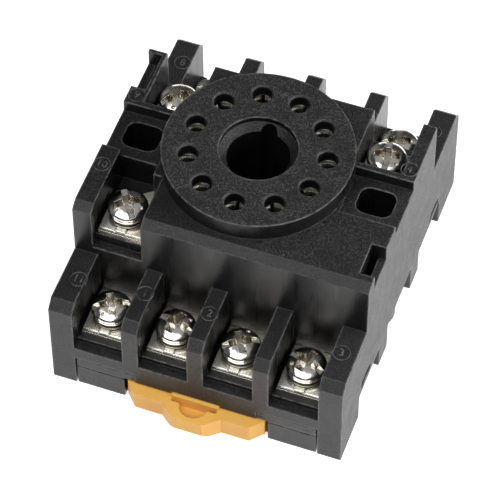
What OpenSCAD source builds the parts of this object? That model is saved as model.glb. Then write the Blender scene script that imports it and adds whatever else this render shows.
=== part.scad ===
// Eleven-pin round relay socket, two-tier screw-terminal type, for a 35 mm rail or two panel screws.
// Millimetres. +X runs along the rail, -Y is the side of the rail slider, +Z points to the relay.
// The origin is midway between the two mounting slots, on the plane that the feet stand on.

/* [Housing] */
// Width along the rail
body_w = 42; // [41.4:0.1:44]
// Length across the rail
body_l = 51; // [50:0.1:54]
// Height of the lower tier's walls
tier_h = 16.8; // [16.2:0.1:18]
// Height of the upper deck
deck_h = 26.3; // [25.8:0.1:28]
// Distance from the centre to the deck's front face
deck_front = 15.5; // [15.2:0.1:15.8]
// Distance from the centre to the deck's back face
deck_back = 13.75; // [13.4:0.05:14.6]
// Thickness of the lower tier's side walls
side_wall = 3.4; // [2.8:0.1:3.8]
// Chamfer on the ends of the tier's walls, along Y
nose_run = 1.3; // [0.6:0.1:1.8]
// Chamfer on the ends of the tier's walls, along Z
nose_rise = 1.4; // [0.6:0.1:1.8]
// Bevel on the deck's front edge, along Y
bevel_run = 1.3; // [0.6:0.1:2]
// Bevel on the deck's front edge, along Z
bevel_rise = 0.9; // [0.4:0.1:1.6]

/* [Terminal pockets] */
// Thickness of the barriers between the lower pockets
barrier_t = 2.32; // [2.1:0.02:2.5]
// Thickness of the upper left side walls
left_wall = 2.7; // [2.5:0.1:2.8]
// Thickness of the upper right side wall
right_wall = 1.9; // [1.8:0.1:2.2]
// Height of the lower pockets' floors
low_floor = 8.6; // [8.4:0.1:9]
// Height of the upper pockets' floors
high_floor = 19.8; // [19.4:0.1:20]
// Height of the sill in front of a lower pocket
low_sill = 7.9; // [7.5:0.1:8.2]
// Height of the sills at the back
back_sill = 8.3; // [8:0.1:8.5]
// Height of the sill in front of an upper pocket
high_sill = 18.1; // [17.6:0.1:18.6]
// Depth of the sill in front of a lower pocket
low_sill_d = 1.5; // [1.2:0.1:1.8]
// Distance from the centre line to the lower screws
low_screw_y = 20.1; // [19.9:0.1:20.3]
// Place of the upper front screw, along Y from the centre
front_screw_y = 11; // [10.9:0.1:11.1]
// Place of the upper back screws, along Y from the centre
back_screw_y = 8.6; // [8.5:0.05:8.9]
// Distance from an upper screw to its pocket's inner wall
pocket_behind = 4.1; // [3.9:0.05:4.2]
// Distance from the centre to the deep end of the upper front pocket
deep_end_y = 4; // [3.9:0.05:4.2]
// Distance from an upper screw to its sill
pocket_ahead = 3.2; // [3.2:0.05:3.4]

/* [Relay seat] */
// Diameter of the round seat
seat_d = 26.4; // [26:0.1:27]
// Height of the seat's face
seat_h = 29.1; // [28.6:0.1:30]
// Diameter of the pin circle
pin_circle_d = 19.05; // [18.8:0.05:19.3]
// Diameter of a pin hole
pin_hole_d = 2.8; // [2.6:0.05:3]
// Chamfer round a pin hole
pin_hole_chamfer = 0.2; // [0.1:0.05:0.3]
// Thickness of the seat over the contacts
seat_t = 1.9; // [1.6:0.1:2.4]
// Diameter of the key hole
key_d = 8.7; // [8.4:0.1:9]
// Diameter of the counterbore round the key hole
key_sink_d = 10.8; // [10.2:0.1:11.2]
// Depth of that counterbore
key_sink = 0.8; // [0.5:0.1:1]
// Depth of the slope from the counterbore into the key hole
key_slope = 1; // [0.6:0.1:1.2]
// Depth of the key hole
key_depth = 16; // [14:0.5:18]
// Diameter of the half-round keyway
keyway_d = 2.3; // [2:0.1:2.6]

/* [Mounting] */
// Distance between the mounting slots
slot_spacing = 33.7; // [33.6:0.1:33.8]
// Width of a mounting slot
slot_w = 4.4; // [4.3:0.1:4.5]
// Length of a mounting slot
slot_l = 5.1; // [5:0.1:5.3]
// Corner radius of a mounting slot in the housing
slot_corner = 1.4; // [1.2:0.1:1.8]
// Height of the recess round a mounting slot
recess_h = 24.5; // [23.6:0.1:24.8]
// Distance from the centre to that recess's inner wall
recess_x = 12.6; // [12.4:0.1:12.8]
// Distance from the centre to that recess's front end
recess_front = 4.35; // [4.1:0.05:4.6]
// Distance from the centre to that recess's back end
recess_back = 3.6; // [3.4:0.05:3.8]
// Height of the face that rests on the rail
rail_seat = 4.2; // [4:0.1:4.5]
// Distance from the centre to the feet, which clears the edge of the rail
foot_y = 17.9; // [17.8:0.05:18.1]
// Wall round a mounting slot's boss
boss_wall = 0.9; // [0.7:0.1:1]
// Place of the clip pocket's front end, along Y from the centre
clip_far = 13.2; // [12.8:0.1:13.4]
// Place of the clip pocket's back end, along Y from the centre
clip_near = 8.1; // [7.6:0.1:8.4]
// Distance from the centre to the back clip pocket's near end
back_clip_near = 6.6; // [6.2:0.1:7.2]
// Width of the clip pocket
clip_w = 1; // [0.8:0.1:1.2]
// Depth of the clip pocket
clip_depth = 7; // [5:0.5:9]
// Height of the thin wall outside the clip pocket
clip_wall_h = 23.7; // [23:0.1:24.4]
// Thickness of that wall
clip_wall_t = 1.1; // [0.9:0.1:1.3]

/* [Base cover] */
// Gap between the cover and the housing
cover_gap = 0.05; // [0.03:0.01:0.1]
// Height of the joint between the housing and the cover
joint_h = 5.75; // [5.6:0.05:6]
// Thickness of the cover's flange under the side walls
flange_t = 1; // [0.8:0.1:1.2]
// Width of a cover foot
foot_w = 6.9; // [6.4:0.1:7.1]
// Gap beside a cover foot
foot_gap = 0.25; // [0.15:0.05:0.4]
// Length of a rail lug along Y
lug_l = 3.6; // [3:0.1:4]
// Distance from the centre to a rail lug
lug_y = 5.2; // [4.8:0.1:5.6]
// Width of a rail lug
lug_w = 3.3; // [2:0.1:3.4]

/* [Rail slider] */
// Gap between the slider and the cover's feet
slider_side = 0.45; // [0.3:0.05:0.6]
// Thickness of the slider
slider_t = 3.1; // [2.8:0.1:3.2]
// Height of the slider's underside
slider_z = 0.65; // [0.6:0.05:0.8]
// How far the slider's bar stands out of the housing
slider_bar = 1.6; // [1.2:0.1:2]
// How far the slider's pull tab stands out of the housing
slider_tab = 3.4; // [2.8:0.1:4]
// Width of the pull tab at its root
tab_root = 8.6; // [8:0.1:9.4]
// Width of the pull tab at its tip
tab_tip = 4.2; // [4:0.1:6]
// Diameter of the screwdriver pocket's round front
driver_d = 4; // [3.4:0.1:4.4]
// Depth of the screwdriver pocket
driver_depth = 1.35; // [1:0.05:1.6]
// Width of the raised bar behind the screwdriver pocket
bar_w = 6.8; // [6:0.1:7.2]
// Rise of that bar above the slider
bar_rise = 0.55; // [0.4:0.05:0.7]
// How far the slider reaches under the rail's edge
hook_reach = 1.7; // [1.3:0.1:2]
// Thickness of a standard rail's edge and its clearance
rail_edge = 1.1; // [1.05:0.05:1.3]
// Travel of the slider
slider_travel = 3; // [2:0.1:3.2]
// Diameter of the spring's wire
wire_d = 0.35; // [0.3:0.05:0.4]
// Mean diameter of the spring's coil
coil_d = 2; // [1.8:0.1:2.2]
// Turns of the spring
coil_turns = 5; // [4:1:5]

/* [Terminals] */
// Thickness of the terminal strips
strip_t = 0.8; // [0.6:0.05:0.9]
// Gap between a strip and its pocket's walls
strip_side = 0.35; // [0.2:0.05:0.5]
// Width of a strip's tail
tail_w = 3; // [2.6:0.1:3.2]
// Length of the strip's threaded neck below the strip
neck_l = 1.4; // [1:0.1:1.8]
// Outer diameter of the threaded neck
neck_d = 4.4; // [4.2:0.1:4.6]
// Thickness of a clamp plate
clamp_t = 0.9; // [0.7:0.05:1]
// Gap between a clamp plate and its pocket's walls
clamp_side = 0.4; // [0.25:0.05:0.5]
// Rise of a clamp plate's raised rib
rib_rise = 0.25; // [0.15:0.05:0.35]
// Width of a clamp plate's raised rib
rib_w = 1.5; // [1.2:0.1:1.8]
// Screw thread diameter
screw_d = 3; // [2.9:0.05:3]
// Screw length under the head
screw_l = 6; // [5.5:0.5:6]
// Screw head diameter
head_d = 5.6; // [5.4:0.1:5.8]
// Screw head height
head_h = 2.2; // [1.9:0.05:2.3]
// Height of the head's cylindrical rim
head_rim = 0.9; // [0.6:0.1:1.2]
// Outer diameter of a lock washer
washer_d = 5.1; // [4.9:0.1:5.3]
// Thickness of a lock washer
washer_t = 0.8; // [0.6:0.05:0.9]
// Radial running clearance round a screw
thread_gap = 0.06; // [0.04:0.01:0.08]
// Outer diameter of a pin contact
contact_d = 3.8; // [3.6:0.1:3.8]
// Bore of a pin contact
contact_bore = 2.5; // [2.4:0.05:2.6]
// Length of a pin contact's sleeve
contact_l = 12.5; // [11:0.5:13]
// Width of the ring of metal round a contact in its strip's eye
eye_wall = 0.6; // [0.5:0.05:0.65]
// Diameter of the stem below the sleeve
stem_d = 2.2; // [2:0.1:2.4]

/* [Hidden] */
$fn = 48;
pin_count = 11;
eps = 0.01;
fit_gap = 0.05;          // metal pieces in the housing's slots
tail_gap = 0.1;          // either side of a strip's tail
half_w = body_w / 2;
half_l = body_l / 2;
inner_x = half_w - side_wall;
pocket_w = (2 * inner_x - 3 * barrier_t) / 4;
column_pitch = pocket_w + barrier_t;
left_screw_x = half_w - left_wall - pocket_w / 2;
right_screw_x = half_w - right_wall - pocket_w / 2;
strip_w = pocket_w - 2 * strip_side;
clamp_w = pocket_w - 2 * clamp_side;
foot_inner = inner_x - foot_gap - foot_w;    // inner side of the cover's feet
slider_w = 2 * (foot_inner - slider_side);
hook_w = 2 * foot_inner - 2.9;
apron_w = 2 * foot_inner - 3.3;              // part of the housing over the slider
apron_t = 1.4;
apron_gap = 0.3;                             // between the apron and the slider
bar_out = 0.4;                               // how far the slider's bar stands out of the apron
bar_gap = 0.2;                               // round that bar in the apron's notch
cover_top = joint_h - cover_gap;
wall_foot_z = rail_seat + flange_t + 2 * cover_gap;
cover_x = half_w - 0.1;
slider_top = slider_z + slider_t;
contact_top = seat_h - seat_t;
key_floor = seat_h - key_depth;
stack_t = strip_t + clamp_t;
hook_top = rail_seat - rail_edge;
hook_tip = foot_y - hook_reach;
post_y = half_l - 1.9;    // inner face of the slider's stop post
post_t = 1;               // thickness of that post
window_inner = hook_tip + 2.3;
window_w = 4.4;
ramp_run = 1.8;           // the ramp that lets the slider ride over the rail's edge
ramp_rise = 1.7;
lower_bevel = 0.6;        // bevel under the pull tab's front edge
notch_rise = 1.15;        // notch over the rail's edge in a side wall, measured up from the joint
notch_drop = 0.1;
notch_lead = 1;           // from the foot to the notch's top edge
notch_far = 4.1;          // from the foot to the notch's far top edge
notch_end = 5.7;          // from the foot to where the notch runs out
washer_slit = 0.3;
contact_floor = 1;        // solid end below a pin contact's bore
contact_slit_w = 0.5;
contact_slit_l = 5;
past = 1;                 // how far a cut reaches past its solid

// Terminals in the order of the pins, which run counterclockwise from the one at -Y.
// Each is [x, y, facing, floor]: facing is the side that its wire comes from.
terminals = [
    [-column_pitch / 2, -low_screw_y, -1, low_floor],
    [column_pitch / 2, -low_screw_y, -1, low_floor],
    [1.5 * column_pitch, -low_screw_y, -1, low_floor],
    [right_screw_x, back_screw_y, 1, high_floor],
    [1.5 * column_pitch, low_screw_y, 1, low_floor],
    [column_pitch / 2, low_screw_y, 1, low_floor],
    [-column_pitch / 2, low_screw_y, 1, low_floor],
    [-1.5 * column_pitch, low_screw_y, 1, low_floor],
    [-left_screw_x, back_screw_y, 1, high_floor],
    [-left_screw_x, -front_screw_y, -1, high_floor],
    [-1.5 * column_pitch, -low_screw_y, -1, low_floor],
];

function is_high(n) = terminals[n][3] == high_floor;
function pin_angle(n) = -90 + 360 * n / pin_count;
function pin_xy(n) = pin_circle_d / 2 * [cos(pin_angle(n)), sin(pin_angle(n))];
// Distance from a screw to the inner end of its strip's wide part
function plate_behind(n) = is_high(n) ? pocket_behind - fit_gap : low_screw_y - deck_front - fit_gap;
function screw_xy(n) = [terminals[n][0], terminals[n][1]];
function eye_d(n) = (is_high(n) ? contact_d : stem_d) + 2 * eye_wall;
// Where a strip's tail starts, on its screw's centre line
function tail_root(n) = screw_xy(n) - [0, terminals[n][2] * (plate_behind(n) - tail_w / 2)];

// A profile drawn in Y and Z, extruded along X from x0 to x1.
module along_x(x0, x1) {
    translate([x0, 0, 0]) rotate([90, 0, 90]) linear_extrude(x1 - x0) children();
}

// A box between two corners.
module block(low, high) {
    translate(low) cube(high - low);
}

// A bar of width w in plan, from point a to point b with round ends.
module link(a, b, w, h) {
    d = b - a;
    translate([a[0], a[1], 0]) rotate([0, 0, atan2(d[1], d[0])]) {
        translate([0, -w / 2, 0]) cube([norm(d), w, h]);
        translate([norm(d), 0, 0]) cylinder(d = w, h = h);
        cylinder(d = w, h = h);
    }
}

// The opening between a side wall's feet, seen from +X, with a notch over each edge of the rail.
module foot_opening() {
    notch_z = joint_h + notch_rise;
    right = [[foot_y, -past], [foot_y, rail_seat - notch_drop], [foot_y - notch_lead, notch_z],
        [foot_y - notch_far, notch_z], [foot_y - notch_end, wall_foot_z]];
    polygon([for (p = right) p, for (i = [len(right) - 1 : -1 : 0]) [-right[i][0], right[i][1]]]);
}

// Outline of both tiers seen from +X, from height z0 up.
module deck_outline(z0) {
    polygon([[-half_l, z0], [-half_l, tier_h - nose_rise], [-half_l + nose_run, tier_h],
        [-deck_front, tier_h], [-deck_front, deck_h - bevel_rise],
        [-deck_front + bevel_run, deck_h], [deck_back, deck_h], [deck_back, tier_h],
        [half_l - nose_run, tier_h], [half_l, tier_h - nose_rise], [half_l, z0]]);
}

// The open space over one terminal, with its sill, and the hole for the strip's neck.
module terminal_pocket(n) {
    t = terminals[n];
    high = is_high(n);
    ahead = high ? pocket_ahead : half_l - low_sill_d - low_screw_y;
    behind = high ? pocket_behind : low_screw_y - deck_front;
    sill = t[2] > 0 ? (high ? high_floor : back_sill) : (high ? high_sill : low_sill);
    translate([t[0], t[1], 0]) scale_y(t[2]) {
        block([-pocket_w / 2, -behind, t[3]], [pocket_w / 2, half_l, deck_h + past]);
        block([-pocket_w / 2, ahead, sill], [pocket_w / 2, half_l, deck_h + past]);
        translate([0, 0, t[3] - screw_l + stack_t - 0.4])
            cylinder(d = neck_d + 4 * fit_gap, h = screw_l);
    }
}

// Mirrors across the XZ plane when the facing is -1.
module scale_y(facing) {
    mirror([0, facing < 0 ? 1 : 0, 0]) children();
}

// The slot that a strip's tail lies in, and the cavity round its pin contact.
module contact_channel(n) {
    p = pin_xy(n);
    z = terminals[n][3];
    low = is_high(n) ? z - fit_gap : joint_h - past;
    link_h = z + strip_t + fit_gap - low;
    translate([0, 0, low]) link(tail_root(n), p, tail_w + 2 * tail_gap, link_h);
    translate([p[0], p[1], low]) cylinder(d = eye_d(n) + 2 * tail_gap, h = link_h);
    translate([p[0], p[1], joint_h - past])
        cylinder(d = contact_d + 2 * fit_gap, h = contact_top - joint_h + past);
}

module pin_hole(n) {
    p = pin_xy(n);
    translate([p[0], p[1], 0]) {
        cylinder(d = pin_hole_d, h = seat_h + past);
        translate([0, 0, seat_h - pin_hole_chamfer])
            cylinder(d1 = pin_hole_d, d2 = pin_hole_d + 4 * pin_hole_chamfer, h = 2 * pin_hole_chamfer);
    }
}

// The hole for the relay's key post, with its keyway at +Y.
module key_hole() {
    sink_z = seat_h - key_sink;
    translate([0, 0, key_floor]) {
        cylinder(d = key_d, h = key_depth);
        translate([0, (key_sink_d - keyway_d) / 2 - 2 * fit_gap, 0]) cylinder(d = keyway_d, h = key_depth);
    }
    translate([0, 0, sink_z]) cylinder(d = key_sink_d, h = key_sink + past);
    translate([0, 0, sink_z - key_slope]) cylinder(d1 = key_d, d2 = key_sink_d, h = key_slope);
}

// One mounting slot's outline, wider all round by extra.
module slot_plan(side, extra) {
    shift = (slot_l - slot_w) / 2;
    translate([side * slot_spacing / 2, 0]) {
        for (s = [-1, 1]) translate([s * shift, 0]) circle(d = slot_w + 2 * extra);
        square([2 * shift, slot_w + 2 * extra], center = true);
    }
}

// The narrow pocket in the deck beside an outer wall, and that wall's lowered top.
module clip_pocket(near) {
    outer = half_w - clip_wall_t;
    block([outer - clip_w, -clip_far, deck_h - clip_depth], [outer, -near, deck_h + past]);
    block([outer - eps, -clip_far, clip_wall_h], [half_w + past, -near, deck_h + past]);
}

module housing() color([0.1, 0.1, 0.11]) difference() {
    union() {
        along_x(-half_w, half_w) deck_outline(joint_h);
        for (side = [-1, 1])
            along_x(side > 0 ? inner_x : -half_w, side > 0 ? half_w : -inner_x) deck_outline(0);
        // apron over the slider
        block([-apron_w / 2, -half_l, slider_top + apron_gap],
            [apron_w / 2, -half_l + apron_t, joint_h + past]);
        translate([0, 0, low_floor]) cylinder(d = seat_d, h = seat_h - low_floor, $fn = 96);
        // nibs inside the front feet
        for (side = [-1, 1]) scale([side, 1, 1]) along_x(half_w - 1.4, half_w - 0.1)
            polygon([[-foot_y - eps, 0], [-foot_y + 1.8, 0], [-foot_y + 1.85, 0.5], [-foot_y - eps, 2.6]]);
    }
    for (side = [-1, 1])
        along_x(side > 0 ? inner_x : -half_w - past, side > 0 ? half_w + past : -inner_x) foot_opening();
    difference() {
        for (side = [-1, 1])
            block([side > 0 ? recess_x : -half_w - past, -recess_front, recess_h],
                [side > 0 ? half_w + past : -recess_x, recess_back, seat_h + past]);
        translate([0, 0, deck_h]) cylinder(d = seat_d, h = seat_h, $fn = 96);
    }
    for (n = [0 : pin_count - 1]) {
        terminal_pocket(n);
        contact_channel(n);
        pin_hole(n);
    }
    // the upper front pocket's deep end, open to the recess
    block([left_wall - half_w, -front_screw_y, high_floor], [-recess_x, -deep_end_y, deck_h + past]);
    key_hole();
    for (side = [-1, 1]) translate([side * slot_spacing / 2, 0, 0]) linear_extrude(deck_h)
        offset(r = slot_corner) square([slot_l - 2 * slot_corner, slot_w - 2 * slot_corner], center = true);
    clip_pocket(clip_near);
    rotate([0, 0, 180]) clip_pocket(back_clip_near);
    // notch in the apron for the slider's bar
    block([-bar_w / 2 - bar_gap, -half_l - past, 0],
        [bar_w / 2 + bar_gap, -half_l + apron_t, slider_top + bar_rise + bar_gap]);
}

// Plan of the cover's flange: full width beside the lugs, narrower between them.
module flange_plan() {
    square([2 * (half_w - 1), 2 * lug_y + 1], center = true);
    for (s = [-1, 1]) mirror([0, s < 0 ? 1 : 0])
        translate([-cover_x, lug_y]) square([2 * cover_x, foot_y - 0.6 - lug_y]);
}

// One cover foot, with the groove that sets off its band.
module cover_foot(side, end) {
    x1 = inner_x - foot_gap;
    x0 = x1 - foot_w;
    y1 = half_l - 0.1;
    scale([side, end, 1]) difference() {
        block([x0, foot_y, 0], [x1, y1, cover_top - 0.2]);
        block([x0 - past, y1 - 0.35, rail_seat - 0.5], [x1 + past, y1 + past, rail_seat - 0.25]);
    }
}

module base_cover() color([0.12, 0.12, 0.13]) difference() {
    x1 = inner_x - foot_gap;
    union() {
        translate([0, 0, rail_seat]) linear_extrude(flange_t) flange_plan();
        block([-x1, -half_l + 0.6, rail_seat], [x1, half_l - 0.6, cover_top]);
        // band below the housing's sill, at both ends
        block([-x1, half_l - 0.7, rail_seat], [x1, half_l - 0.1, joint_h - 0.3]);
        for (side = [-1, 1])
            scale([side, 1, 1]) block([apron_w / 2 + fit_gap, -half_l + 0.1, rail_seat], [x1, -half_l + 0.7, joint_h - 0.3]);
        for (side = [-1, 1], end = [-1, 1]) {
            cover_foot(side, end);
            scale([side, end, 1]) block([cover_x - lug_w, lug_y, 0], [cover_x, lug_y + lug_l, rail_seat + flange_t]);
        }
        // ledges that carry the slider's edges
        for (side = [-1, 1]) scale([side, 1, 1])
            block([slider_w / 2 - 0.8, -half_l + 1, 0], [x1 - foot_w + eps, -foot_y, slider_z - fit_gap]);
        // the fixed rail hook between the back feet
        along_x(-hook_w / 2, hook_w / 2) polygon([[foot_y, rail_seat + eps], [half_l - 3, rail_seat + eps], [half_l - 3, 0],
            [foot_y, 0], [hook_tip, 1.2], [hook_tip, hook_top], [foot_y, hook_top]]);
        // the slider's stop post
        block([-1.2, -post_y - post_t, slider_z], [1.2, -post_y, rail_seat + eps]);
        for (side = [-1, 1]) linear_extrude(rail_seat + eps) slot_plan(side, boss_wall);
    }
    for (side = [-1, 1]) translate([0, 0, -past]) linear_extrude(joint_h + 2 * past) slot_plan(side, 0);
    // room for the housing's apron
    block([-apron_w / 2 - fit_gap, -half_l - past, rail_seat - past],
        [apron_w / 2 + fit_gap, -half_l + apron_t + fit_gap, joint_h + past]);
    // holes under the lower screws
    for (n = [0 : pin_count - 1]) if (!is_high(n))
        translate([terminals[n][0], terminals[n][1], rail_seat + 0.4]) cylinder(d = neck_d, h = joint_h);
}

// The slider seen from above, at rest, with round corners.
module slider_plan() {
    bar_y = -half_l - slider_bar;
    tab_y = -half_l - slider_tab;
    side = slider_w / 2;
    corner = 0.35;
    difference() {
        offset(r = corner) offset(delta = -corner)
            polygon([[-side, -hook_tip], [-side, -half_l + 0.2], [-side + 1.7, bar_y],
                [-tab_root / 2, bar_y], [-tab_tip / 2, tab_y], [tab_tip / 2, tab_y], [tab_root / 2, bar_y],
                [side - 1.7, bar_y], [side, -half_l + 0.2], [side, -hook_tip]]);
        translate([-window_w / 2, -post_y - post_t - fit_gap])
            square([window_w, post_y + post_t + fit_gap - window_inner]);
    }
}

module rail_slider() color([0.93, 0.62, 0.2]) {
    bar_front = -half_l - bar_out;
    difference() {
        union() {
            translate([0, 0, slider_z]) linear_extrude(slider_t) slider_plan();
            block([-bar_w / 2, bar_front, slider_top - eps],
                [bar_w / 2, -half_l + apron_t - 2 * fit_gap, slider_top + bar_rise]);
        }
        // step down to the rail's edge, and the ramp that rides over it
        block([-slider_w, -foot_y + 0.2, hook_top - 0.1], [slider_w, 0, slider_top + past]);
        along_x(-slider_w, slider_w) polygon([[-hook_tip - ramp_run, slider_z - past],
            [-hook_tip - ramp_run, slider_z], [-hook_tip, slider_z + ramp_rise], [0, slider_z + ramp_rise], [0, slider_z - past]]);
        // screwdriver pocket in the pull tab
        block([-bar_w / 2 + 0.1, bar_front - 0.5, slider_top - driver_depth],
            [bar_w / 2 - 0.1, bar_front, slider_top + past]);
        intersection() {
            translate([0, bar_front - 0.3, slider_top - driver_depth])
                cylinder(d = driver_d, h = driver_depth + past);
            block([-driver_d, -2 * half_l, 0], [driver_d, bar_front, slider_top + past]);
        }
        // lower front edge
        along_x(-slider_w, slider_w) polygon([[-half_l - slider_tab - past, slider_z - past],
            [-half_l - slider_tab - past, slider_z + lower_bevel],
            [-half_l - slider_tab, slider_z + lower_bevel],
            [-half_l - slider_tab + lower_bevel, slider_z],
            [-half_l - slider_tab + lower_bevel, slider_z - past]]);
    }
}

// Compression spring between the stop post and the slider's inner bar, swept as one tube.
module slider_spring() {
    length = post_y - window_inner;
    steps = 18;
    sides = 8;
    rings = coil_turns * steps;
    pitch = (length - wire_d) / coil_turns;
    z = slider_z + slider_t / 2;
    points = [for (i = [0 : rings]) let (a = 360 * i / steps, y = wire_d / 2 + pitch * i / steps)
        for (k = [0 : sides - 1]) let (b = 360 * k / sides, r = coil_d / 2 + wire_d / 2 * cos(b))
            [r * cos(a), -post_y + y + wire_d / 2 * sin(b), z + r * sin(a)]];
    walls = [for (i = [0 : rings - 1]) for (k = [0 : sides - 1])
        let (j = (k + 1) % sides) [i * sides + k, i * sides + j, (i + 1) * sides + j, (i + 1) * sides + k]];
    ends = [[for (k = [sides - 1 : -1 : 0]) k], [for (k = [0 : sides - 1]) rings * sides + k]];
    color([0.75, 0.75, 0.77]) polyhedron(points, concat(walls, ends), convexity = 10);
}

// Strip under a terminal's screw, with its threaded neck and a tail to its pin contact.
module terminal_strip(n) {
    t = terminals[n];
    p = pin_xy(n);
    hole = is_high(n) ? contact_d : stem_d;
    color([0.8, 0.79, 0.75]) difference() {
        union() {
            translate([t[0], t[1], 0]) scale_y(t[2])
                block([-strip_w / 2, -plate_behind(n), t[3]], [strip_w / 2, 3.15, t[3] + strip_t]);
            translate([t[0], t[1], t[3] - neck_l]) cylinder(d = neck_d, h = neck_l + eps);
            translate([0, 0, t[3]]) link(tail_root(n), p, tail_w, strip_t);
            translate([p[0], p[1], t[3]]) cylinder(d = eye_d(n), h = strip_t);
        }
        translate([t[0], t[1], t[3] - neck_l - past])
            cylinder(d = screw_d + 2 * thread_gap, h = neck_l + strip_t + 2 * past);
        translate([p[0], p[1], t[3] - past]) cylinder(d = hole + 0.04, h = strip_t + 2 * past);
    }
}

// Square plate that clamps the wire, with a raised rib to each side of the screw.
module clamp_plate(n) {
    t = terminals[n];
    z = t[3] + strip_t;
    rib_y = washer_d / 2 + fit_gap;
    color([0.82, 0.81, 0.78]) translate([t[0], t[1], z]) scale_y(t[2]) difference() {
        union() {
            translate([-clamp_w / 2, -clamp_w / 2, 0]) cube([clamp_w, clamp_w, clamp_t]);
            translate([-rib_w / 2, rib_y, 0]) cube([rib_w, clamp_w / 2 - rib_y, clamp_t + rib_rise]);
        }
        translate([0, 0, -past]) cylinder(d = screw_d + 2 * thread_gap, h = clamp_t + 2 * past);
    }
}

// Split ring between a clamp plate and its screw's head.
module lock_washer(n) {
    t = terminals[n];
    color([0.78, 0.77, 0.74]) translate([t[0], t[1], t[3] + stack_t]) difference() {
        cylinder(d = washer_d, h = washer_t);
        translate([0, 0, -past]) cylinder(d = screw_d + 2 * thread_gap, h = washer_t + 2 * past);
        rotate([0, 0, 37 + 70 * n])
            block([0, -washer_slit / 2, -past], [washer_d, washer_slit / 2, washer_t + past]);
    }
}

// Pan-head screw with a combined cross and slot.
module terminal_screw(n) {
    t = terminals[n];
    turn = 25 + 53 * n;
    dome_h = head_h - head_rim;
    dome_r = (head_d * head_d / 4 + dome_h * dome_h) / (2 * dome_h);
    color([0.86, 0.84, 0.79]) translate([t[0], t[1], t[3] + stack_t + washer_t]) difference() {
        union() {
            translate([0, 0, -screw_l]) cylinder(d = screw_d, h = screw_l + eps);
            intersection() {
                cylinder(d = head_d, h = head_h);
                translate([0, 0, head_h - dome_r]) sphere(r = dome_r, $fn = 64);
            }
        }
        rotate([0, 0, turn]) {
            translate([0, 0, head_h - 0.75]) block([-head_d, -0.5, 0], [head_d, 0.5, 1]);
            translate([0, 0, head_h - 1.3]) {
                block([-1.7, -0.4, 0], [1.7, 0.4, 2]);
                block([-0.4, -1.7, 0], [0.4, 1.7, 2]);
            }
        }
    }
}

// Sleeve that takes a relay pin, with two slits, on a stem down to its strip.
module pin_contact(n) {
    p = pin_xy(n);
    low = contact_top - contact_l;
    color([0.84, 0.78, 0.62]) translate([p[0], p[1], 0]) difference() {
        union() {
            translate([0, 0, low]) cylinder(d = contact_d, h = contact_l);
            if (!is_high(n)) translate([0, 0, terminals[n][3]]) cylinder(d = stem_d, h = low - terminals[n][3] + eps);
        }
        translate([0, 0, low + contact_floor]) cylinder(d = contact_bore, h = contact_l);
        rotate([0, 0, pin_angle(n)]) block([-contact_d, -contact_slit_w / 2, contact_top - contact_slit_l],
            [contact_d, contact_slit_w / 2, contact_top + past]);
    }
}

housing();
base_cover();
rail_slider();
slider_spring();
for (n = [1 : pin_count]) {
    terminal_strip(n - 1);
    clamp_plate(n - 1);
    lock_washer(n - 1);
    terminal_screw(n - 1);
    pin_contact(n - 1);
}
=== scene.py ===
# Looks of an eleven-pin round relay socket: a black moulded body on two levels, nickel-plated
# screw terminals and an orange rail slider. Lengths are in metres unless a name ends in _mm.
import math

import bmesh
import bpy
from mathutils import Matrix, Vector


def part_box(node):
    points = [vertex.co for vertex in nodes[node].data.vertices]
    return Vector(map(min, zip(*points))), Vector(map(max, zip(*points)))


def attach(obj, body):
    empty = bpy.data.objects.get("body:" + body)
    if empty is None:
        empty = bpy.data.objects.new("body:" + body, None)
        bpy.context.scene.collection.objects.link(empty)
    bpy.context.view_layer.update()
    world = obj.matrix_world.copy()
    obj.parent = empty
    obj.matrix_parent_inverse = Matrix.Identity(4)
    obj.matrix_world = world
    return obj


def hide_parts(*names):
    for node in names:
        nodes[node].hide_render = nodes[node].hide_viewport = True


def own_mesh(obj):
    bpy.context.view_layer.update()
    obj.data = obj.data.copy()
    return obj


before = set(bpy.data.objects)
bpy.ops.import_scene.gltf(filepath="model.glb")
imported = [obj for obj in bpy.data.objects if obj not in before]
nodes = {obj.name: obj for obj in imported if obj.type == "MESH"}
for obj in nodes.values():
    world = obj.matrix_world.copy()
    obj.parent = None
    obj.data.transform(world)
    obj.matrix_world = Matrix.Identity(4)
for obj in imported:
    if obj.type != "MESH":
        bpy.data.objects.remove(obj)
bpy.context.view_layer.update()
mm = 0.001


# --- Housing -------------------------------------------------------------------------------
# One injection moulding in black glass-filled nylon. Its outer faces are matt from a
# spark-eroded mould; the walls inside the pockets are smooth, with faint marks of ejection.
class Wire:
    """A node's output that takes part in Python arithmetic; each operator adds a Math node."""

    def __init__(self, tree, socket):
        self.tree = tree
        self.socket = socket

    def math(self, operation, *others):
        return add_node(self.tree, "ShaderNodeMath", {"operation": operation},
                        dict(enumerate((self, *others))))

    def __add__(self, other):
        return self.math("ADD", other)

    def __radd__(self, other):
        return self.math("ADD", other)

    def __sub__(self, other):
        return self.math("SUBTRACT", other)

    def __rsub__(self, other):
        return add_node(self.tree, "ShaderNodeMath", {"operation": "SUBTRACT"}, {0: other, 1: self})

    def __mul__(self, other):
        return self.math("MULTIPLY", other)

    def __rmul__(self, other):
        return self.math("MULTIPLY", other)

    def between(self, low, high):
        """0 at low and 1 at high, held to that range. Noise clusters round 0.5."""
        return add_node(self.tree, "ShaderNodeMapRange", {"clamp": True},
                        {"Value": self, "From Min": low, "From Max": high})

    def part(self, axis):
        """One component of a vector."""
        return add_node(self.tree, "ShaderNodeSeparateXYZ", None, {0: self}, output=axis)


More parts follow.
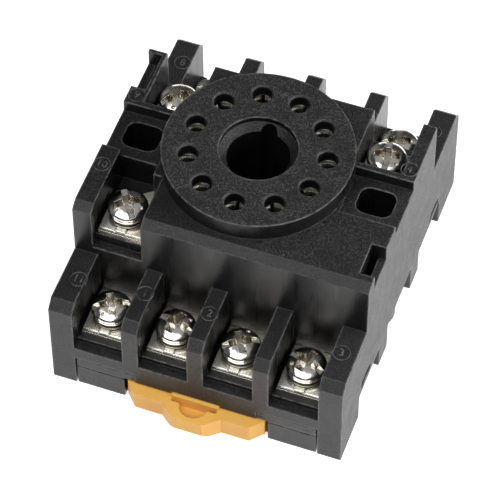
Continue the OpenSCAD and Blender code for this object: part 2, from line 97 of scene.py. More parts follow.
def add_node(tree, kind, settings=None, inputs=None, output=0):
    """Adds one node, applies its settings, then fills its sockets with values or wires."""
    node = tree.nodes.new(kind)
    for name, value in (settings or {}).items():
        setattr(node, name, value)
    for key, value in (inputs or {}).items():
        for item in value if isinstance(value, list) else [value]:
            if isinstance(item, Wire):
                tree.links.new(item.socket, node.inputs[key])
            elif isinstance(item, tuple) and node.inputs[key].type == "RGBA":
                node.inputs[key].default_value = (*item, 1)
            else:
                node.inputs[key].default_value = item
    return Wire(tree, node.outputs[output])


def new_material(name):
    """A material with a bare Principled shader; returns it with its tree and that shader."""
    material = bpy.data.materials.new(name)
    material.use_nodes = True
    tree = material.node_tree
    return material, tree, tree.nodes["Principled BSDF"]


def noise(tree, place, size_mm, detail=2.0, rough=0.5):
    """Noise whose features are about size_mm across."""
    return add_node(tree, "ShaderNodeTexNoise", None,
                    {"Vector": place, "Scale": 1 / (size_mm * mm),
                     "Detail": detail, "Roughness": rough})


def stretched(tree, place, stretch):
    """The place scaled along each axis, so that noise on it draws out into streaks."""
    return add_node(tree, "ShaderNodeMapping", None, {"Vector": place, "Scale": stretch})


def blend_colours(tree, mask, first, second):
    """first where the mask is 0, second where it is 1. Mix has its colours on sockets 6 and 7."""
    return add_node(tree, "ShaderNodeMix", {"data_type": "RGBA"},
                    {"Factor": mask, 6: first, 7: second}, output=2)


def set_sockets(shader, **values):
    """Values and wires for a Principled shader, by socket name with underscores for spaces."""
    for name, value in values.items():
        socket = shader.inputs[name.replace("_", " ")]
        if isinstance(value, Wire):
            value.tree.links.new(value.socket, socket)
        elif isinstance(value, tuple):
            socket.default_value = (*value, 1)
        else:
            socket.default_value = value


def bumped(tree, height, distance_mm, edge_mm, strength=1.0):
    """A normal from a height field, over edges rounded by edge_mm."""
    rounded = add_node(tree, "ShaderNodeBevel", {"samples": 6}, {"Radius": edge_mm * mm})
    return add_node(tree, "ShaderNodeBump", None,
                    {"Height": height, "Distance": distance_mm * mm,
                     "Strength": strength, "Normal": rounded})


housing_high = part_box("housing")[1]
skin = 0.1 * mm
middle_bore_r = 5.1 * mm


def under_skin(distance, reach):
    """1 inside the housing and 0 on its outer faces, which are at reach from its middle."""
    return 1 - distance.math("ABSOLUTE").between(reach - 1.2 * skin, reach - 0.8 * skin)


def moulded_nylon(name, dark, glint_colour, edge_wear_and_highlight_colour, roughness, grain_mm):
    """Spark-grained black nylon with smooth inner walls, light flecks in the grain that are painted
    glints, and lighter sharp edges that are partly wear and partly painted highlight.
    """
    material, tree, shader = new_material(name)
    place = add_node(tree, "ShaderNodeTexCoord", output="Object")
    facing = add_node(tree, "ShaderNodeTexCoord", output="Normal")
    upright = 1 - facing.part(2).math("ABSOLUTE").between(0.2, 0.5)
    inner = upright * under_skin(place.part(0), housing_high.x)
    inner = inner * under_skin(place.part(1), housing_high.y)
    cloud = noise(tree, place, 2.6, 4.0, 0.65)
    grain = noise(tree, place, grain_mm * 1.5, 3.0, 0.7)
    glint_flecks = noise(tree, place, grain_mm, 3.0, 0.8).between(0.52, 0.64) * (1 - inner * 0.85)
    seat_top = place.part(2).between(housing_high.z - 4 * skin, housing_high.z - 2 * skin)
    streaks = noise(tree, stretched(tree, place, (1.0, 1.0, 0.1)), 1.4, 1.0)
    from_axis = add_node(tree, "ShaderNodeVectorMath", {"operation": "LENGTH"},
                         {0: stretched(tree, place, (1.0, 1.0, 0.0))}, output="Value")
    in_bore = 1 - from_axis.between(middle_bore_r, middle_bore_r + skin)
    # Rays traced into the solid soon meet another face beside a sharp edge. There the colour goes
    # lighter: partly wear, partly a painted highlight along the edge.
    solid = add_node(tree, "ShaderNodeAmbientOcclusion",
                     {"samples": 6, "inside": True, "only_local": True},
                     {"Distance": 0.28 * mm}, output="AO")
    patches = noise(tree, place, 0.8, 3.0).between(0.3, 0.6)
    edge = (1 - solid.between(0.62, 0.9)) * patches * (1 - in_bore)
    # Painted glints: flecks of lighter colour in the grain, with more of them on the seat's top.
    more_glints_on_seat_top = seat_top * (0.35 + 0.6 * cloud.between(0.38, 0.62))
    painted_glints = glint_flecks * (0.1 + 0.5 * cloud.between(0.35, 0.65) + more_glints_on_seat_top)
    tone = blend_colours(tree, painted_glints.math("MINIMUM", 1.0), dark, glint_colour)
    tone = blend_colours(tree, edge, tone, edge_wear_and_highlight_colour)
    matt = roughness + 0.12 * (cloud.between(0.3, 0.7) + grain.between(0.35, 0.7) + seat_top)
    smooth = 0.26 + 0.10 * streaks.between(0.35, 0.7)
    height = (grain + 0.5 * glint_flecks) * (1 - inner * 0.9) + inner * streaks * 0.25
    set_sockets(shader, Base_Color=tone,
                Roughness=matt * (1 - inner) + smooth * inner - 0.16 * edge,
                Normal=bumped(tree, height, 0.08, 0.22))
    return material


def dress(names, material):
    """Gives CAD nodes one material."""
    for name in names:
        data = nodes[name].data
        data.materials.clear()
        data.materials.append(material)


# Here the second colour paints glints into the grain, and the third lightens sharp edges, partly as
# wear and partly as painted highlight.
housing_nylon = moulded_nylon("black_grained_nylon", dark=(0.003, 0.003, 0.0031),
                              glint_colour=(0.085, 0.085, 0.086), edge_wear_and_highlight_colour=(0.14, 0.14, 0.14),
                              roughness=0.30, grain_mm=0.2)
dress(["housing"], housing_nylon)


# --- Terminal numbers ----------------------------------------------------------------------
# Small raised numbers, each in a raised ring, moulded with the housing on the walls beside
# the terminals they belong to. They stand a tenth of a millimetre proud.
def plan_middle(node):
    """The x and y of the middle of a node's box."""
    low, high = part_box(node)
    return (low.x + high.x) / 2, (low.y + high.y) / 2


terminals = {n: plan_middle(f"terminal_screw_{n}") for n in range(1, 12)}
ring_r_mm, ring_w_mm, mark_h_mm, digit_h_mm, sunk_mm = 1.1, 0.13, 0.09, 1.6, 0.02
ring_sides = 40
weld = 1e-7
upper_wall_z, lower_wall_z, upper_reach = 26.3 * mm, 16.8 * mm, 15 * mm
# How far each number stands from the middle of its terminal, along X and Y.
beside_mm = {1: (-4.55, 0.6), 2: (-4.6, 0.4), 3: (4.75, 0.3), 4: (4.15, -3.1),
             5: (4.7, 0.2), 6: (4.6, 0.0), 7: (-4.7, 0.0), 8: (-4.7, 0.2),
             9: (-4.9, -3.3), 10: (-5.0, 3.4), 11: (-4.5, -0.2)}


def add_piece(name, mesh, material, body):
    """A finished mesh as a piece that moves with a body."""
    item = bpy.data.objects.new(name, mesh)
    bpy.context.scene.collection.objects.link(item)
    mesh.materials.clear()
    mesh.materials.append(material)
    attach(item, body)
    return item


def plain_mesh(holder):
    """The finished shape of an object, as a mesh of its own."""
    bpy.context.view_layer.update()
    graph = bpy.context.evaluated_depsgraph_get()
    return bpy.data.meshes.new_from_object(holder.evaluated_get(graph))


def raised_mark(label, centre):
    """One number in its ring, as a bmesh at centre."""
    words = bpy.data.curves.new("number", "FONT")
    words.body = label
    words.size = digit_h_mm * mm
    words.align_x = "CENTER"
    words.align_y = "CENTER"
    words.extrude = mark_h_mm * mm
    words.resolution_u = 3
    holder = bpy.data.objects.new("number", words)
    bpy.context.scene.collection.objects.link(holder)
    drawn = plain_mesh(holder)
    bpy.data.objects.remove(holder)
    made = bmesh.new()
    made.from_mesh(drawn)
    bmesh.ops.transform(made, matrix=Matrix.Translation(centre), verts=made.verts)
    section = [(ring_r_mm, -sunk_mm), (ring_r_mm + ring_w_mm, -sunk_mm),
               (ring_r_mm + ring_w_mm * 0.8, mark_h_mm), (ring_r_mm + ring_w_mm * 0.2, mark_h_mm)]
    loops = [[made.verts.new(centre + Vector((r * math.cos(a), r * math.sin(a), z)) * mm)
              for r, z in section]
             for a in (2 * math.pi * k / ring_sides for k in range(ring_sides))]
    for here, there in zip(loops, loops[1:] + loops[:1]):
        for j in range(len(section)):
            after = (j + 1) % len(section)
            made.faces.new((here[j], there[j], there[after], here[after]))
    return made


marks = bpy.data.meshes.new("terminal_numbers")
together = bmesh.new()
for n, (x, y) in terminals.items():
    dx, dy = beside_mm[n]
    wall_top = upper_wall_z if abs(y) < upper_reach else lower_wall_z
    one = raised_mark(str(n), Vector((x + dx * mm, y + dy * mm, wall_top)))
    one.to_mesh(marks)
    together.from_mesh(marks)
    one.free()
bmesh.ops.remove_doubles(together, verts=together.verts, dist=weld)
bmesh.ops.recalc_face_normals(together, faces=together.faces)
together.to_mesh(marks)
together.free()
add_piece("terminal_numbers", marks, housing_nylon, "socket")


# --- Base cover ----------------------------------------------------------------------------
# A second moulding in the same black nylon, snapped into the housing's underside. Its feet
# stand between the side walls' feet, and its hook and lugs take the rail.
# As on the housing: painted glints in the grain, and sharp edges lighter partly from wear and
# partly as painted highlight.
cover_nylon = moulded_nylon("black_cover_nylon", dark=(0.006, 0.006, 0.0062),
                            glint_colour=(0.06, 0.06, 0.062), edge_wear_and_highlight_colour=(0.11, 0.11, 0.11),
                            roughness=0.38, grain_mm=0.22)
dress(["base_cover"], cover_nylon)


# --- Rail slider and its spring ------------------------------------------------------------
# An orange-yellow acetal moulding that latches the rail, with a pull tab and a pocket for a
# screwdriver. A small coil of drawn spring wire pushes it home.
def acetal(name, colour, painted_shade_colour):
    """Satin acetal with fine handling marks, in painted shade deeper in tone low down and on its
    front.
    """
    material, tree, shader = new_material(name)
    place = add_node(tree, "ShaderNodeTexCoord", output="Object")
    cloud = noise(tree, place, 5.0, 3.0)
    grain = noise(tree, place, 0.25, 3.0, 0.6)
    scuffs = noise(tree, stretched(tree, place, (0.25, 1.0, 1.0)), 0.35, 3.0).between(0.6, 0.75)
    facing = add_node(tree, "ShaderNodeTexCoord", output="Normal")
    # Painted shade: the colour darkens low down and on the front face.
    shade_low_down = 1 - place.part(2).between(1.0 * mm, 4.0 * mm)
    shade_on_front = (facing.part(1) * -1.0).between(0.3, 0.9)
    share = 0.35 * cloud.between(0.3, 0.7) + 0.2 * shade_low_down + 0.45 * shade_on_front
    set_sockets(shader, Base_Color=blend_colours(tree, share, colour, painted_shade_colour),
                Roughness=0.40 + 0.12 * grain.between(0.3, 0.7) + 0.1 * scuffs,
                Normal=bumped(tree, grain + scuffs * 0.3, 0.012, 0.2))
    return material


# The second colour is the painted shade low down and on the front.
slider_acetal = acetal("orange_acetal", colour=(0.88, 0.485, 0.100), painted_shade_colour=(0.66, 0.34, 0.065))
dress(["rail_slider"], slider_acetal)


def plated(name, colour, tarnish, roughness, wave_mm=0.0, edge_mm=0.08, painted_shade_colour=None, open_share=None):
    """Bright plating with faint stains and fine rolling waviness. Where a shade colour is given,
    hollows take that colour as painted shade as the share of open air over them falls through the
    open_share range."""
    material, tree, shader = new_material(name)
    place = add_node(tree, "ShaderNodeTexCoord", output="Object")
    stain = noise(tree, place, 1.8, 4.0, 0.6)
    fine = noise(tree, place, 0.12, 2.0)
    wave = noise(tree, place, 1.1, 1.5)
    tone = blend_colours(tree, stain.between(0.45, 0.75), colour, tarnish)
    # Painted shade: hollows darken towards the given colour where little open air lies over them.
    if painted_shade_colour:
        open_air = add_node(tree, "ShaderNodeAmbientOcclusion", {"samples": 6},
                            {"Distance": 0.7 * mm}, output="AO")
        tone = blend_colours(tree, open_air.between(*open_share), painted_shade_colour, tone)
    set_sockets(shader, Base_Color=tone, Metallic=1.0,
                Roughness=roughness + 0.1 * stain.between(0.45, 0.8),
                Normal=bumped(tree, fine * 0.1 + wave, 0.02 + wave_mm, edge_mm, 0.7))
    return material


def made_by(tree, source, **values):
    """The plain mesh that a node group makes of a source mesh."""
    holder = bpy.data.objects.new("source", source)
    bpy.context.scene.collection.objects.link(holder)
    modifier = holder.modifiers.new("shape", "NODES")
    modifier.node_group = tree
    for socket in tree.interface.items_tree:
        label = socket.name.replace(" ", "_")
        if socket.in_out == "INPUT" and label in values:
            modifier[socket.identifier] = values[label]
    mesh = plain_mesh(holder)
    holder.modifiers.remove(modifier)
    bpy.data.objects.remove(holder)
    return mesh


def new_group(name, inputs):
    """A node group with a geometry, a Place, these inputs and a Finish; returns it with its
    inputs as wires."""
    tree = bpy.data.node_groups.new(name, "GeometryNodeTree")
    tree.interface.new_socket("Geometry", in_out="OUTPUT", socket_type="NodeSocketGeometry")
    all_inputs = [("Geometry", "Geometry"), ("Place", "Vector"), *inputs, ("Finish", "Material")]
    for label, kind in all_inputs:
        tree.interface.new_socket(label, in_out="INPUT", socket_type=f"NodeSocket{kind}")
    source = tree.nodes.new("NodeGroupInput")
    return tree, {socket.name: Wire(tree, socket) for socket in source.outputs if socket.name}


def close_group(tree, given, shape, rotation=(0, 0, 0), sharp_deg=32):
    """Smooths all but sharp edges, puts the shape in place and ends the group."""
    bend = add_node(tree, "GeometryNodeInputMeshEdgeAngle", output="Unsigned Angle")
    sharp = add_node(tree, "FunctionNodeCompare",
                     {"data_type": "FLOAT", "operation": "GREATER_THAN"},
                     {0: bend, 1: math.radians(sharp_deg)})
    shape = add_node(tree, "GeometryNodeSetShadeSmooth", {"domain": "FACE"},
                     {"Geometry": shape, "Shade Smooth": True})
    shape = add_node(tree, "GeometryNodeSetShadeSmooth", {"domain": "EDGE"},
                     {"Geometry": shape, "Selection": sharp, "Shade Smooth": False})
    shape = add_node(tree, "GeometryNodeTransform", None,
                     {"Geometry": shape, "Translation": given["Place"], "Rotation": rotation})
    shape = add_node(tree, "GeometryNodeRealizeInstances", None, {"Geometry": shape})
    shape = add_node(tree, "GeometryNodeSetMaterial", None,
                     {"Geometry": shape, "Material": given["Finish"]})
    end = tree.nodes.new("NodeGroupOutput")
    tree.links.new(shape.socket, end.inputs["Geometry"])


spring_wire = plated("drawn_spring_wire", colour=(0.62, 0.62, 0.63), tarnish=(0.5, 0.5, 0.5),
                     roughness=0.25, edge_mm=0.02)
spring_low, spring_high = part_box("slider_spring")
wire_r_mm, coil_turns, travel_mm = 0.17, 5.0, 3.0
coil_r_mm = (spring_high.x - spring_low.x) / mm / 2 - wire_r_mm
spring_l_mm = (spring_high.y - spring_low.y) / mm
spring_tree, given = new_group("coil_spring", [("Turns", "Float")])
coil = add_node(spring_tree, "GeometryNodeCurveSpiral", None,
                {"Resolution": 32, "Rotations": given["Turns"],
                 "Start Radius": coil_r_mm * mm, "End Radius": coil_r_mm * mm,
                 "Height": (spring_l_mm - 2 * wire_r_mm) * mm})
wire = add_node(spring_tree, "GeometryNodeCurvePrimitiveCircle", {"mode": "RADIUS"},
                {"Resolution": 12, "Radius": wire_r_mm * mm})
coil = add_node(spring_tree, "GeometryNodeCurveToMesh", None,
                {"Curve": coil, "Profile Curve": wire, "Fill Caps": True})
close_group(spring_tree, given, coil, rotation=(-math.pi / 2, 0, 0), sharp_deg=50)
coil_start = Vector((0, spring_low.y + wire_r_mm * mm, (spring_low.z + spring_high.z) / 2))
mesh = made_by(spring_tree, bpy.data.meshes.new("coil"), Turns=coil_turns, Finish=spring_wire,
               Place=coil_start)
spring = add_piece("coil_spring", mesh, spring_wire, "socket")
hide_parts("slider_spring")
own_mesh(spring)


# --- Terminal strips -----------------------------------------------------------------------
# Pressed brass strips, nickel plated, laid in the housing. Only their ends show, as a bright
# line under each clamp plate.
strip_metal = plated("plated_strip", colour=(0.80, 0.77, 0.69), tarnish=(0.62, 0.57, 0.47),
                     roughness=0.2, wave_mm=0.01)
dress([f"terminal_strip_{n}" for n in terminals], strip_metal)


# --- Pin contacts --------------------------------------------------------------------------
# Turned and slit brass sleeves under the seat, each with a flared mouth that leads the
# relay's pin in. A stem riveted into the strip carries the lower ones.
seam = 1e-6


def turned_group(name, extra_inputs):
    """A group that turns its input's profile, a chain of points in XZ, round its own Z axis."""
    tree, given = new_group(name, [("Turn", "Float"), ("Points", "Int"), ("Steps", "Int"),
                                   *extra_inputs])
    grid = add_node(tree, "GeometryNodeMeshGrid", None,
                    {"Size X": 1.0, "Size Y": 1.0,
                     "Vertices X": given["Steps"] + 1, "Vertices Y": given["Points"]})
    place = add_node(tree, "GeometryNodeInputPosition")
    angle = (place.part(0) + 0.5) * (2 * math.pi)
    station = ((place.part(1) + 0.5) * (given["Points"] - 1)).math("ROUND")
    point = add_node(tree, "GeometryNodeSampleIndex",
                     {"data_type": "FLOAT_VECTOR", "domain": "POINT"},
                     {"Geometry": given["Geometry"], "Value": place, "Index": station})
    radius = point.part(0)
    rounded = add_node(tree, "ShaderNodeCombineXYZ", None,
                       {0: radius * angle.math("COSINE"), 1: radius * angle.math("SINE"),
                        2: point.part(2)})
    shape = add_node(tree, "GeometryNodeSetPosition", None, {"Geometry": grid, "Position": rounded})
    shape = add_node(tree, "GeometryNodeMergeByDistance", None,
                     {"Geometry": shape, "Distance": seam})
    return tree, given, shape


def cut(tree, body, cutters):
    """The body less each cutter."""
    return add_node(tree, "GeometryNodeMeshBoolean", {"operation": "DIFFERENCE", "solver": "EXACT"},
                    {"Mesh 1": body, "Mesh 2": cutters})


def block(tree, size_mm, at_mm, taper=None):
    """A box; taper narrows it by that share per millimetre, downwards from its middle height."""
    box = add_node(tree, "GeometryNodeMeshCube", None, {"Size": tuple(s * mm for s in size_mm)})
    if taper:
        place = add_node(tree, "GeometryNodeInputPosition")
        share = 1 + place.part(2) * (taper / mm)
        narrowed = add_node(tree, "ShaderNodeCombineXYZ", None,
                            {0: place.part(0) * share, 1: place.part(1) * share, 2: place.part(2)})
        box = add_node(tree, "GeometryNodeSetPosition", None,
                       {"Geometry": box, "Position": narrowed})
    return add_node(tree, "GeometryNodeTransform", None,
                    {"Geometry": box, "Translation": tuple(a * mm for a in at_mm)})


def close_turned(tree, given, shape, sharp_deg=32):
    """Ends a group whose shape stands turned about Z by its Turn."""
    turn = add_node(tree, "ShaderNodeCombineXYZ", None, {2: given["Turn"]})
    close_group(tree, given, shape, turn, sharp_deg)


def chain(name, points_mm):
    """A mesh of points (radius, height) joined in a row, for a group to turn."""
    mesh = bpy.data.meshes.new(name)
    links = [(i, i + 1) for i in range(len(points_mm) - 1)]
    mesh.from_pydata([(r * mm, 0, z * mm) for r, z in points_mm], links, [])
    return mesh


contact_metal = plated("plated_contact", colour=(0.80, 0.78, 0.71), tarnish=(0.46, 0.42, 0.34),
                       roughness=0.27)
sleeve_r_mm, sleeve_l_mm, stem_r_mm = 1.9, 12.5, 1.1
throat_r_mm, bore_r_mm, bore_l_mm = 1.16, 1.22, 11.5
slit_w_mm, slit_l_mm, slit_across_mm, proud_mm = 0.5, 5.2, 6, 0.1
# (radius, height) from the foot's rim up the outside, over the mouth and down the bore.
shell_mm = [(1.85, -sleeve_l_mm), (sleeve_r_mm, -12.4), (sleeve_r_mm, -0.08), (1.84, 0),
            (1.66, 0), (1.6, -0.06), (1.2, -0.55), (throat_r_mm, -0.8), (bore_r_mm, -2.5),
            (bore_r_mm, -bore_l_mm), (0, -bore_l_mm)]
sleeve_tree, given, sleeve = turned_group("slit_sleeve", [])
slit = block(sleeve_tree, (slit_across_mm, slit_w_mm, slit_l_mm), (0, 0, proud_mm - slit_l_mm / 2))
close_turned(sleeve_tree, given, cut(sleeve_tree, sleeve, [slit]))
for n in terminals:
    low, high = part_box(f"pin_contact_{n}")
    foot_mm = (low.z - high.z) / mm
    # Where the strip lies well below the sleeve, a stem reaches down to it.
    if foot_mm < -sleeve_l_mm - 0.5:
        foot = [(0, foot_mm), (stem_r_mm, foot_mm), (stem_r_mm, -sleeve_l_mm)]
    else:
        foot = [(0, -sleeve_l_mm)]
    profile = foot + shell_mm
    spot = Vector((*plan_middle(f"pin_contact_{n}"), high.z))
    mesh = made_by(sleeve_tree, chain("sleeve_profile", profile), Place=spot,
                   Points=len(profile), Steps=40, Turn=math.atan2(spot.y, spot.x),
                   Finish=contact_metal)
    sleeve = add_piece(f"slit_sleeve_{n}", mesh, contact_metal, "socket")
    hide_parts(f"pin_contact_{n}")


# --- Clamp plates --------------------------------------------------------------------------
# Square plates stamped from steel and plated, with a raised pad between two grooves ahead of
# the washer, a rounded front edge and a toothed underside that grips the wire.
clamp_metal = plated("plated_clamp", colour=(0.86, 0.84, 0.77), tarnish=(0.66, 0.61, 0.51),
                     roughness=0.2, wave_mm=0.015)
plate_t_mm, plate_hole_r_mm = 0.9, 1.56
pad_half_w_mm, pad_rise_mm, groove_w_mm, groove_deep_mm = 0.675, 0.14, 0.22, 0.14
teeth, tooth_deep_mm, plain_rim_mm = 9, 0.24, 0.25
lower_edge_mm, upper_edge_mm, turned_over_mm = 0.2, 0.1, 0.3


def clamp_profile(half_w_mm):
    """The plate's section across its width, from the bottom left round to the top left."""
    pitch_mm = 2 * (half_w_mm - plain_rim_mm) / teeth
    underside = []
    for k in range(teeth):
        x = -half_w_mm + plain_rim_mm + k * pitch_mm
        underside += [(x + 0.35 * pitch_mm, 0.0), (x + 0.5 * pitch_mm, tooth_deep_mm),
                      (x + 0.65 * pitch_mm, 0.0)]
    lower_right = [(half_w_mm - lower_edge_mm, 0.03), (half_w_mm, lower_edge_mm)]
    floor_mm = plate_t_mm - groove_deep_mm
    upper_right = [(half_w_mm, plate_t_mm - upper_edge_mm), (half_w_mm - upper_edge_mm, plate_t_mm),
                   (pad_half_w_mm + groove_w_mm, plate_t_mm),
                   (pad_half_w_mm + groove_w_mm * 0.7, floor_mm),
                   (pad_half_w_mm + groove_w_mm * 0.3, floor_mm),
                   (pad_half_w_mm, plate_t_mm + pad_rise_mm)]
    lower_left = [(-x, z) for x, z in reversed(lower_right)]
    upper_left = [(-x, z) for x, z in reversed(upper_right)]
    return lower_left + underside + lower_right + upper_right + upper_left


def clamp_mesh(half_w_mm, facing):
    """The plate as stations of its section along Y, its front edge turned down."""
    section = clamp_profile(half_w_mm)
    # (place along Y, drop of all that lies above turned_over_mm) at each station.
    stations_mm = [(-half_w_mm, -0.02), (-half_w_mm * 0.5, 0.0), (half_w_mm * 0.2, 0.0),
                   (half_w_mm * 0.5, -0.07), (half_w_mm * 0.75, -0.17), (half_w_mm - 0.22, -0.28),
                   (half_w_mm - 0.07, -0.34), (half_w_mm, -0.45)]
    made = bmesh.new()
    loops = []
    for y, drop in stations_mm:
        loops.append([made.verts.new((x * mm, y * facing * mm,
                                      max(z + (drop if z > turned_over_mm else 0), 0) * mm))
                      for x, z in section])
    for here, there in zip(loops, loops[1:]):
        for j in range(len(section)):
            after = (j + 1) % len(section)
            made.faces.new((here[j], here[after], there[after], there[j]))
    made.faces.new(loops[0])
    made.faces.new(loops[-1])
    bmesh.ops.recalc_face_normals(made, faces=made.faces)
    mesh = bpy.data.meshes.new("clamp_section")
    made.to_mesh(mesh)
    made.free()
    return mesh


clamp_tree, given = new_group("pierced_plate", [("Hole Radius", "Float")])
drill = add_node(clamp_tree, "GeometryNodeMeshCylinder", None,
                 {"Vertices": 40, "Radius": given["Hole Radius"], "Depth": 6 * mm})
close_group(clamp_tree, given, cut(clamp_tree, given["Geometry"], [drill]))
for n in terminals:
    low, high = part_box(f"clamp_plate_{n}")
    plate = clamp_mesh((high.x - low.x) / mm / 2, facing=1 if terminals[n][1] > 0 else -1)
    mesh = made_by(clamp_tree, plate, Place=Vector((*plan_middle(f"clamp_plate_{n}"), low.z)),
                   Hole_Radius=plate_hole_r_mm * mm, Finish=clamp_metal)
    clamp = add_piece(f"pressed_clamp_{n}", mesh, clamp_metal, f"clamp_{n}")
    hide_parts(f"clamp_plate_{n}")


# --- Washers -------------------------------------------------------------------------------
# A thin flat washer with a split spring washer on it, captive on the screw's shank and plated
# with it.
# The darkest colour paints shade into the washers' hollows and low on their sides next to the clamp
# plate.
washer_metal = plated("plated_washer", colour=(0.50, 0.47, 0.42), tarnish=(0.34, 0.31, 0.26),
                      roughness=0.33, edge_mm=0.04, painted_shade_colour=(0.10, 0.08, 0.055), open_share=(0.5, 1.0))
washer_bore_r_mm = 1.56
# Both washers: how far the rim lies inside the outline, bottom, top, rounding and split.
washers_mm = [(0.05, 0.0, 0.27, 0.07, 0.0), (0.3, 0.33, 0.8, 0.12, 0.35)]
split_lean_deg, first_split_deg, split_step_deg = 35, 37, 70


def ring_section(inner, outer, bottom, top, round_off):
    """A closed section with rounded corners, from its inner side round and back, in mm."""
    corners = [(inner + round_off, bottom + round_off, 180),
               (outer - round_off, bottom + round_off, 270),
               (outer - round_off, top - round_off, 0),
               (inner + round_off, top - round_off, 90)]
    points = []
    for r, z, first_deg in corners:
        for a in (math.radians(first_deg + step) for step in (0, 30, 60, 90)):
            points.append((r + round_off * math.cos(a), z + round_off * math.sin(a)))
    return points + points[:1]


washer_tree, given, ring = turned_group("washer", [("Gap", "Float")])
gap_size = add_node(washer_tree, "ShaderNodeCombineXYZ", None,
                    {0: 4 * mm, 1: given["Gap"], 2: 2 * mm})
gap = add_node(washer_tree, "GeometryNodeMeshCube", None, {"Size": gap_size})
gap = add_node(washer_tree, "GeometryNodeTransform", None,
               {"Geometry": gap, "Translation": (2.6 * mm, 0, 0.4 * mm),
                "Rotation": (math.radians(split_lean_deg), 0, 0)})
close_turned(washer_tree, given, cut(washer_tree, ring, [gap]))
for n in terminals:
    low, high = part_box(f"lock_washer_{n}")
    rim_mm = (high.x - low.x) / mm / 2
    both = bmesh.new()
    for inset_mm, bottom_mm, top_mm, round_mm, gap_mm in washers_mm:
        section = ring_section(washer_bore_r_mm, rim_mm - inset_mm, bottom_mm, top_mm, round_mm)
        mesh = made_by(washer_tree, chain("washer_section", section),
                       Place=Vector((*terminals[n], low.z)), Points=len(section), Steps=56,
                       Turn=math.radians(first_split_deg + split_step_deg * n), Gap=gap_mm * mm,
                       Finish=washer_metal)
        both.from_mesh(mesh)
    both.to_mesh(mesh)
    both.free()
    pair = add_piece(f"washer_pair_{n}", mesh, washer_metal, f"clamp_{n}")
    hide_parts(f"lock_washer_{n}")


# --- Terminal screws -----------------------------------------------------------------------
# Cold-headed screws in bright nickel: a domed head with a cross recess and a slot that runs
# out to the rim on one axis, a small punched dot, and a rolled thread below.
# The darkest colour paints shade into the cross recess, the slot and the dot.
screw_metal = plated("plated_screw", colour=(0.86, 0.84, 0.78), tarnish=(0.72, 0.68, 0.60),
                     roughness=0.13, wave_mm=0.07, edge_mm=0.05, painted_shade_colour=(0.26, 0.21, 0.14),
                     open_share=(0.3, 0.85))
slot_turn_deg = {1: 165, 2: 211, 3: -18, 4: 99, 5: 20, 6: 65, 7: -40, 8: 8, 9: 38, 10: 124, 11: 28}
head_r_mm, head_h_mm, rim_low_mm, rim_high_mm = 2.8, 2.2, 0.9, 1.0
shank_r_mm, shank_l_mm, neck_r_mm = 1.48, 6.0, 1.28
thread_pitch_mm, thread_deep_mm, thread_turns = 0.6, 0.26, 9
slot_w_mm, slot_deep_mm, slot_h_mm = 0.9, 0.75, 2.0
cross_w_mm, cross_l_mm, cross_deep_mm, cross_taper = 1.15, 3.9, 1.5, 0.25
core_w_mm, core_deep_mm, core_taper = 2.0, 1.55, 0.3
dot_r_mm, dot_at_mm = 0.3, (-1.35, -1.5, 1.85)
screw_tree, given, screw = turned_group("headed_screw", [])
top_mm = (0, 0, head_h_mm)
slot_middle_mm = (0, 0, head_h_mm - slot_deep_mm + slot_h_mm / 2)
core = block(screw_tree, (core_w_mm, core_w_mm, 2 * core_deep_mm), top_mm, core_taper)
dot = add_node(screw_tree, "GeometryNodeMeshUVSphere", None,
               {"Segments": 16, "Rings": 10, "Radius": dot_r_mm * mm})
cutters = [block(screw_tree, (2.4 * head_r_mm, slot_w_mm, slot_h_mm), slot_middle_mm),
           block(screw_tree, (cross_l_mm, cross_w_mm, 2 * cross_deep_mm), top_mm, cross_taper),
           block(screw_tree, (cross_w_mm, cross_l_mm, 2 * cross_deep_mm), top_mm, cross_taper),
           add_node(screw_tree, "GeometryNodeTransform", None,
                    {"Geometry": core, "Rotation": (0, 0, math.radians(45))}),
           add_node(screw_tree, "GeometryNodeTransform", None,
                    {"Geometry": dot, "Translation": tuple(a * mm for a in dot_at_mm)})]
close_turned(screw_tree, given, cut(screw_tree, screw, cutters), sharp_deg=28)
# (radius, height) up the screw: its thread, the collar under the head, and the dome.
thread = []
for k in range(thread_turns):
    z = -shank_l_mm + k * thread_pitch_mm
    thread += [(shank_r_mm - thread_deep_mm, z), (shank_r_mm, z + thread_pitch_mm * 0.45),
               (shank_r_mm, z + thread_pitch_mm * 0.55)]
collar = [(2.0, 0.02), (2.05, 0.34), (2.5, 0.36), (2.68, 0.42), (2.72, 0.54), (2.66, 0.68),
          (2.5, 0.76), (2.35, 0.8)]
head = [(head_r_mm - 0.1, rim_low_mm - 0.04), (head_r_mm - 0.02, rim_low_mm),
        (head_r_mm, rim_low_mm + 0.05)]
dome_steps_deg = (0, 4, 8, 12, 16, 21, 26, 32, 39, 47, 56, 65, 76)
head += [(head_r_mm * math.cos(a), rim_high_mm + (head_h_mm - rim_high_mm) * math.sin(a))
         for a in map(math.radians, dome_steps_deg)]
profile = [(0, -shank_l_mm), (shank_r_mm - 0.5, -shank_l_mm), *thread, (neck_r_mm, -0.4),
           (neck_r_mm, 0), *collar, *head, (0, head_h_mm)]
for n in terminals:
    washer_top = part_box(f"lock_washer_{n}")[1].z
    mesh = made_by(screw_tree, chain("screw_profile", profile),
                   Place=Vector((*terminals[n], washer_top)), Points=len(profile), Steps=64,
                   Turn=math.radians(slot_turn_deg[n]), Finish=screw_metal)
    screw = add_piece(f"headed_screw_{n}", mesh, screw_metal, f"screw_{n}")
    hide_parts(f"terminal_screw_{n}")


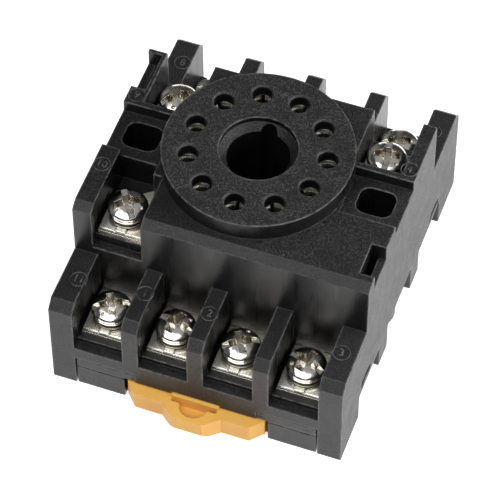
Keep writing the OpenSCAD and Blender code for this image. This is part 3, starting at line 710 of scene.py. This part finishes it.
# --- Studio --------------------------------------------------------------------------------
# A white table under the feet, two soft lamps to the right and one high in front, a grey sky,
# and a long lens high on the front right side.
scene = bpy.context.scene
scene.view_settings.view_transform = "Standard"
table = bpy.data.meshes.new("table")
reach = 3.0
corners = [(-reach, -reach, 0), (reach, -reach, 0), (reach, reach, 0), (-reach, reach, 0)]
table.from_pydata(corners, [], [(0, 1, 2, 3)])
table_top = bpy.data.objects.new("table", table)
scene.collection.objects.link(table_top)
table_paint, tree, shader = new_material("table_white")
set_sockets(shader, Base_Color=(0.9, 0.9, 0.9), Roughness=0.9, Specular_IOR_Level=0.1)
by_camera, by_gloss, by_glass = (add_node(tree, "ShaderNodeLightPath", output=f"Is {kind} Ray")
                                 for kind in ("Camera", "Glossy", "Transmission"))
seen = by_camera.math("MAXIMUM", by_gloss).math("MAXIMUM", by_glass)
table_glow = 0.62
set_sockets(shader, Emission_Color=(1.0, 1.0, 1.0), Emission_Strength=table_glow * seen)
table.materials.append(table_paint)

world = bpy.data.worlds.new("studio")
scene.world = world
world.use_nodes = True
tree = world.node_tree
height = add_node(tree, "ShaderNodeTexCoord", output="Generated").part(2)
horizon, overhead = (0.05, 0.05, 0.052), (0.33, 0.33, 0.34)
glow = blend_colours(tree, height.between(0.5, 0.85), horizon, overhead)
tree.links.new(glow.socket, tree.nodes["Background"].inputs["Color"])


def lamp(name, place, target, size, power):
    """A soft white rectangular lamp that faces target."""
    data = bpy.data.lights.new(name, "AREA")
    data.shape = "RECTANGLE"
    data.size, data.size_y = size
    data.energy = power
    item = bpy.data.objects.new(name, data)
    item.location = place
    item.rotation_euler = (Vector(target) - Vector(place)).to_track_quat("-Z", "Y").to_euler()
    scene.collection.objects.link(item)


middle = (0, 0, 0.015)
lamp("right_box", (0.55, -0.10, 0.22), target=middle, size=(0.4, 0.3), power=2.6)
lamp("low_box", (0.50, 0.30, 0.16), target=(0.10, 0.06, 0.0), size=(0.4, 0.22), power=2.4)
lamp("front_box", (-0.10, -0.34, 0.54), target=middle, size=(0.75, 0.55), power=3.4)

# The camera: azimuth from the front towards +X, elevation above the table, and the distance
# from a point on the centre line.
azimuth = math.radians(19.7188)
elevation = math.radians(52.868)
aim = Vector((0, 0, 10.706)) * mm
distance = 434.52 * mm
back = Vector((math.sin(azimuth) * math.cos(elevation),
               -math.cos(azimuth) * math.cos(elevation), math.sin(elevation)))
right = Vector((math.cos(azimuth), math.sin(azimuth), 0))
up = back.cross(right)
camera_data = bpy.data.cameras.new("camera")
camera_data.sensor_width = 36
camera_data.lens = 224.54
camera_data.shift_x = -0.01684
camera_data.shift_y = -0.03847
camera_data.clip_start = 0.01
camera = bpy.data.objects.new("camera", camera_data)
turned = Matrix((right, up, back)).transposed().to_4x4()
camera.matrix_world = Matrix.Translation(aim + back * distance) @ turned
scene.collection.objects.link(camera)
scene.camera = camera
